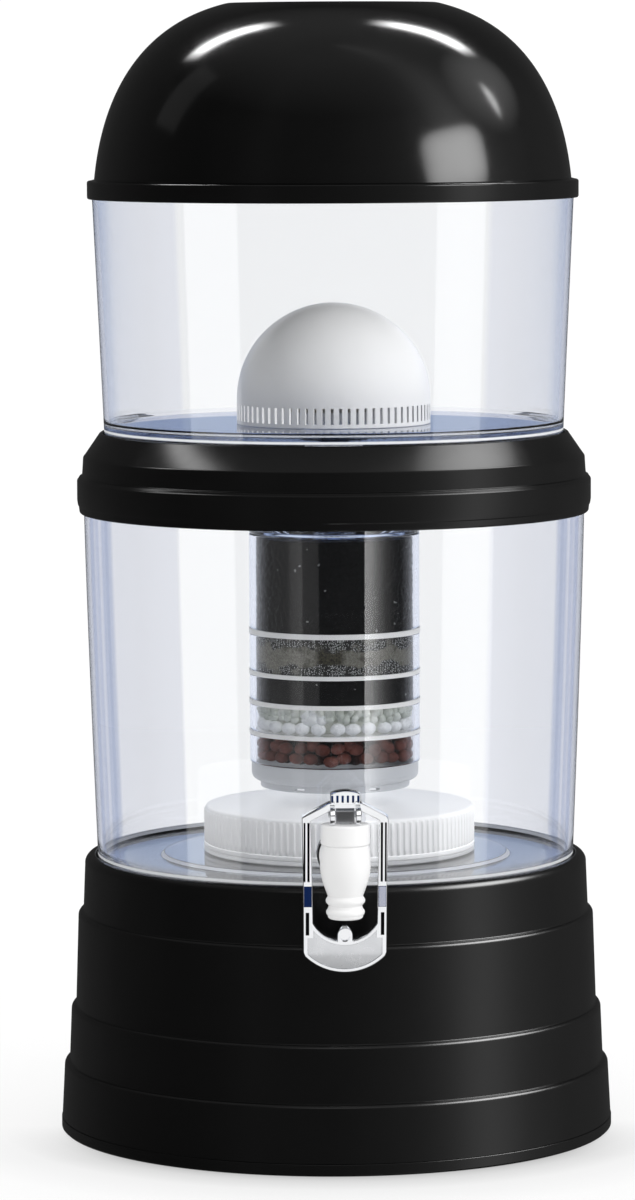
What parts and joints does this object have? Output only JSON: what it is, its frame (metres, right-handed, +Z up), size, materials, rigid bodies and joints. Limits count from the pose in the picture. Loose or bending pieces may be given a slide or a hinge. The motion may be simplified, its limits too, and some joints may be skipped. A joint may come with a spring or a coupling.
{
  "type": "gravity water filter with tap",
  "caption": "Two stacked clear tanks on a hollow black base with a domed lid, a filter dome above, a layered mineral cartridge hanging below and a lever tap at the front.",
  "frame": {"origin": "centre of the flat underside of the foot ring, on the vertical axis of the tanks", "axes": "+Z up along the axis of the tanks, -Y towards the front, where the tap is, +X to the viewer's right when facing the front"},
  "size_m": [0.281, 0.3207, 0.5707],
  "materials": {
    "black_gloss": "gloss",
    "base_plastic": "semi-gloss",
    "clear_tank": "clear, polished",
    "tinted_clear": "clear, slightly blue",
    "clear_shell": "clear",
    "white_plastic": "satin gloss",
    "white_satin": "satin",
    "grey_plastic": "satin",
    "cream_ceramic": "porous, matt",
    "white_ceramic": "smooth, matt",
    "red_ceramic": "fired clay, matt",
    "carbon": "granular",
    "mineral_sand": "granular",
    "silica": "granular",
    "mineral_stone": "tumbled",
    "grey_rubber": "matt",
    "steel": "drawn wire",
    "chrome": "chrome plated",
    "satin_silver": "satin",
    "blue_plastic": "gloss"
  },
  "bodies": {
    "base": {"foot_ring": "base_plastic", "base_stand": "base_plastic", "base_shelf": "base_plastic", "base_gussets": "base_plastic"},
    "lower_tank": {"lower_tank": "clear_tank", "lower_tank_floor": "clear_tank", "stone_case_tray": "white_plastic", "mineral_stones": "mineral_stone", "tap_body": "white_plastic", "tap_bonnet": "white_plastic", "tap_washer_outer": "grey_rubber", "tap_washer_inner": "grey_rubber", "tap_nut": "white_plastic"},
    "stone_case_lid": {"stone_case_lid": "white_plastic"},
    "tap_stem": {"tap_stem": "white_plastic", "tap_seal": "grey_rubber", "tap_spring": "steel"},
    "lever": {"lever_frame": "chrome", "lever_pad": "satin_silver", "lever_pin": "steel", "lever_insert_left": "blue_plastic", "lever_insert_right": "blue_plastic"},
    "mid_ring": {"mid_ring": "black_gloss", "mid_ring_web": "black_gloss"},
    "upper_tank": {"upper_tank": "clear_tank", "upper_tank_floor": "clear_tank", "ceramic_dome": "cream_ceramic", "ceramic_base": "white_plastic", "outlet_stud": "white_plastic", "floor_washer": "grey_rubber", "under_washer": "grey_rubber", "stud_nut": "white_plastic"},
    "dome_cover": {"dome_cover": "white_satin"},
    "cartridge": {"cartridge_cap": "tinted_clear", "shell_section_1": "clear_shell", "shell_section_2": "clear_shell", "shell_section_3": "clear_shell", "shell_section_4": "clear_shell", "shell_section_5": "clear_shell", "separator_1": "white_satin", "separator_2": "white_satin", "separator_3": "white_satin", "separator_4": "white_satin", "carbon_bed": "carbon", "mineral_sand_bed": "mineral_sand", "fine_carbon_bed": "carbon", "silica_bed": "silica", "white_balls": "white_ceramic", "red_balls": "red_ceramic", "cartridge_bottom_cap": "grey_plastic"},
    "lid": {"lid": "black_gloss"}
  },
  "joints": [
    {"name": "lower_tank_lift", "type": "slide", "parent": "base", "child": "lower_tank", "axis": [0, 0, 1], "range_m": [0, 0.04]},
    {"name": "ring_lift", "type": "slide", "parent": "lower_tank", "child": "mid_ring", "axis": [0, 0, 1], "range_m": [0, 0.06]},
    {"name": "upper_tank_lift", "type": "slide", "parent": "mid_ring", "child": "upper_tank", "axis": [0, 0, 1], "range_m": [0, 0.2]},
    {"name": "lid_lift", "type": "slide", "parent": "upper_tank", "child": "lid", "axis": [0, 0, 1], "range_m": [0, 0.1]},
    {"name": "dome_cover_lift", "type": "slide", "parent": "upper_tank", "child": "dome_cover", "axis": [0, 0, 1], "range_m": [0, 0.06]},
    {"name": "cartridge_turn", "type": "hinge", "parent": "upper_tank", "child": "cartridge", "pos_m": [0, 0, 0.34], "axis": [0, 0, 1], "range_deg": [0, 360]},
    {"name": "case_lid_turn", "type": "hinge", "parent": "lower_tank", "child": "stone_case_lid", "pos_m": [0.002, 0, 0.155], "axis": [0, 0, 1], "range_deg": [0, 30]},
    {"name": "stem_lift", "type": "slide", "parent": "lower_tank", "child": "tap_stem", "axis": [0, 0, 1], "range_m": [0, 0.0016], "deforming": ["tap_spring"]},
    {"name": "lever_push", "type": "hinge", "parent": "tap_stem", "child": "lever", "pos_m": [0, -0.168, 0.182], "axis": [1, 0, 0], "range_deg": [0, 12], "stiffness_Nm_per_rad": 0.5, "springref_deg": -11.46}
  ],
  "couplings": [
    {"joint": "stem_lift", "follows": "lever_push", "m_per_rad": 0.0075}
  ]
}
